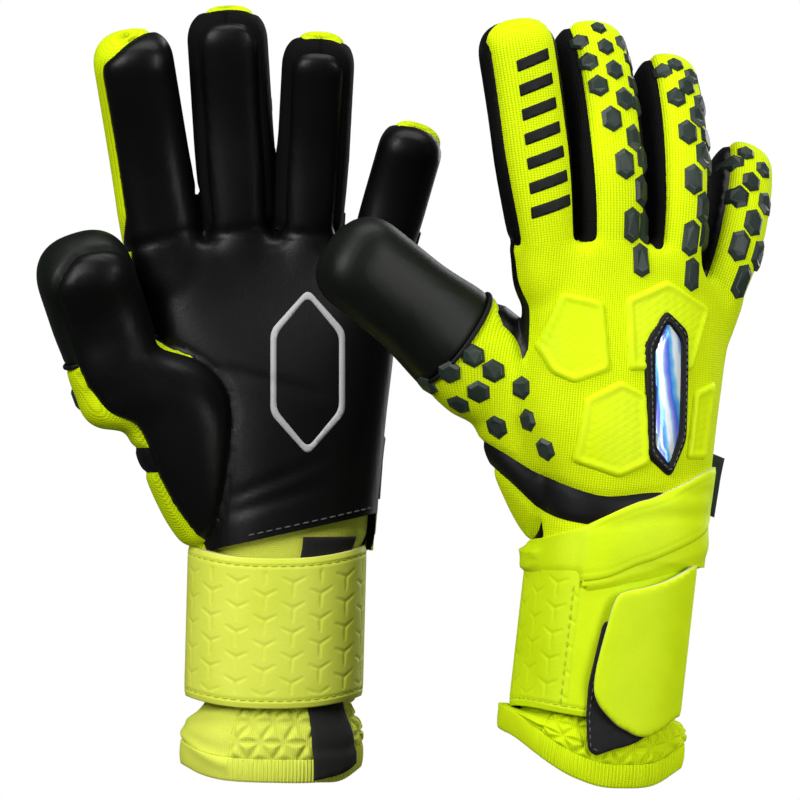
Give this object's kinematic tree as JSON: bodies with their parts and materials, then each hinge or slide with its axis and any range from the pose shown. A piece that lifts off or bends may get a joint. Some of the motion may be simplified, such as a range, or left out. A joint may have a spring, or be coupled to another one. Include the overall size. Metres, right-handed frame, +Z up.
{
  "type": "pair of goalkeeper gloves",
  "caption": "Pair of goalkeeper gloves standing on their cuffs, black latex palms, neon knitted backs with studs and padded wrist straps.",
  "frame": {"origin": "middle of the pair's box, on the floor under the hems", "axes": "+Z up, X across the pair with the left glove at -X, the viewer of the picture at -Y"},
  "size_m": [0.2835, 0.1732, 0.2994],
  "materials": {
    "black_latex": "matt foam latex",
    "dark_cap": "smooth satin latex",
    "neon_knit": "fine knit",
    "neon_foam": "embossed foam",
    "black_band": "satin print",
    "badge_film": "shiny film in a stitched rim",
    "label_weave": "woven label",
    "stud_rubber": "faceted satin rubber",
    "black_mesh": "stretch mesh",
    "neon_cuff": "quilted elastic fabric",
    "neon_strap": "embossed foam strap",
    "black_webbing": "woven tape",
    "fastener": "hook and loop"
  },
  "bodies": {
    "left_hand": {"left_palm_latex": "black_latex", "left_thenar_roll": "black_latex", "left_backhand_knit": "neon_knit", "left_backhand_pads": "neon_foam", "left_wrist_crescent": "black_band", "left_badge": "badge_film", "left_side_label": "label_weave", "left_hand_studs": "stud_rubber", "left_cuff_sleeve": "neon_cuff", "left_cuff_hem": "neon_cuff", "left_pull_webbing": "black_webbing", "left_wrist_strap": "neon_strap", "left_loop_patch": "fastener"},
    "left_tab": {"left_strap_tab": "neon_strap", "left_hook_patch": "fastener"},
    "left_thumb": {"left_thumb_latex": "black_latex", "left_thumb_cap": "dark_cap"},
    "left_index": {"left_index_latex": "black_latex", "left_index_knit": "neon_knit"},
    "left_middle": {"left_middle_latex": "black_latex", "left_middle_knit": "neon_knit", "left_middle_gussets": "black_mesh", "left_middle_studs": "stud_rubber"},
    "left_ring": {"left_ring_latex": "black_latex", "left_ring_knit": "neon_knit", "left_ring_gussets": "black_mesh", "left_ring_studs": "stud_rubber"},
    "left_little": {"left_little_latex": "black_latex", "left_little_knit": "neon_knit", "left_little_studs": "stud_rubber"},
    "right_hand": {"right_palm_latex": "black_latex", "right_thenar_roll": "black_latex", "right_backhand_knit": "neon_knit", "right_backhand_pads": "neon_foam", "right_wrist_crescent": "black_band", "right_badge": "badge_film", "right_side_label": "label_weave", "right_hand_studs": "stud_rubber", "right_cuff_sleeve": "neon_cuff", "right_cuff_hem": "neon_cuff", "right_pull_webbing": "black_webbing", "right_wrist_strap": "neon_strap", "right_loop_patch": "fastener"},
    "right_tab": {"right_strap_tab": "neon_strap", "right_hook_patch": "fastener"},
    "right_thumb": {"right_thumb_latex": "black_latex", "right_thumb_cap": "dark_cap"},
    "right_index": {"right_index_latex": "black_latex", "right_index_knit": "neon_knit"},
    "right_middle": {"right_middle_latex": "black_latex", "right_middle_knit": "neon_knit", "right_middle_gussets": "black_mesh", "right_middle_studs": "stud_rubber"},
    "right_ring": {"right_ring_latex": "black_latex", "right_ring_knit": "neon_knit", "right_ring_gussets": "black_mesh", "right_ring_studs": "stud_rubber"},
    "right_little": {"right_little_latex": "black_latex", "right_little_knit": "neon_knit", "right_little_studs": "stud_rubber"}
  },
  "joints": [
    {"name": "left_index_fold", "type": "hinge", "parent": "left_hand", "child": "left_index", "pos_m": [-0.08732, 0.0422, 0.207], "axis": [0.9758, -0.0698, 0.2074], "range_deg": [0, 72], "stiffness_Nm_per_rad": 0.08},
    {"name": "left_middle_fold", "type": "hinge", "parent": "left_hand", "child": "left_middle", "pos_m": [-0.05996, 0.0437, 0.21], "axis": [0.9974, -0.0175, 0.0697], "range_deg": [0, 72], "stiffness_Nm_per_rad": 0.08},
    {"name": "left_ring_fold", "type": "hinge", "parent": "left_hand", "child": "left_ring", "pos_m": [-0.03392, 0.0422, 0.209], "axis": [0.9975, 0.0558, -0.0436], "range_deg": [0, 72], "stiffness_Nm_per_rad": 0.08},
    {"name": "left_little_fold", "type": "hinge", "parent": "left_hand", "child": "left_little", "pos_m": [-0.01008, 0.0377, 0.196], "axis": [0.9576, 0.0872, -0.2746], "range_deg": [0, 72], "stiffness_Nm_per_rad": 0.08},
    {"name": "left_thumb_swing", "type": "hinge", "parent": "left_hand", "child": "left_thumb", "pos_m": [-0.09552, 0.0317, 0.12441], "axis": [0, 1, 0], "range_deg": [-30, 0], "stiffness_Nm_per_rad": 0.12},
    {"name": "left_tab_peel", "type": "hinge", "parent": "left_hand", "child": "left_tab", "pos_m": [-0.01526, 0.06701, 0.06], "axis": [-0.052, 0, -0.9986], "range_deg": [0, 100]},
    {"name": "right_index_fold", "type": "hinge", "parent": "right_hand", "child": "right_index", "pos_m": [0.05049, -0.05269, 0.21069], "axis": [-0.8697, -0.4825, -0.1043], "range_deg": [0, 72], "stiffness_Nm_per_rad": 0.08},
    {"name": "right_middle_fold", "type": "hinge", "parent": "right_hand", "child": "right_middle", "pos_m": [0.07607, -0.04242, 0.21081], "axis": [-0.8982, -0.4381, 0.0349], "range_deg": [0, 72], "stiffness_Nm_per_rad": 0.08},
    {"name": "right_ring_fold", "type": "hinge", "parent": "right_hand", "child": "right_ring", "pos_m": [0.09881, -0.03016, 0.2071], "axis": [-0.9185, -0.3667, 0.1476], "range_deg": [0, 72], "stiffness_Nm_per_rad": 0.08},
    {"name": "right_little_fold", "type": "hinge", "parent": "right_hand", "child": "right_little", "pos_m": [0.11716, -0.01663, 0.19168], "axis": [-0.8739, -0.3114, 0.3732], "range_deg": [0, 72], "stiffness_Nm_per_rad": 0.08},
    {"name": "right_thumb_swing", "type": "hinge", "parent": "right_hand", "child": "right_thumb", "pos_m": [0.04984, -0.04141, 0.14251], "axis": [-0.4226, 0.9063, 0], "range_deg": [-14, 4], "stiffness_Nm_per_rad": 0.12},
    {"name": "right_tab_peel", "type": "hinge", "parent": "right_hand", "child": "right_tab", "pos_m": [0.11454, -0.0502, 0.06], "axis": [0.0753, 0.0351, 0.9965], "range_deg": [0, 100]},
    {"name": "right_lift", "type": "slide", "parent": "left_hand", "child": "right_hand", "axis": [0, 0, 1], "range_m": [0, 0.25]}
  ]
}
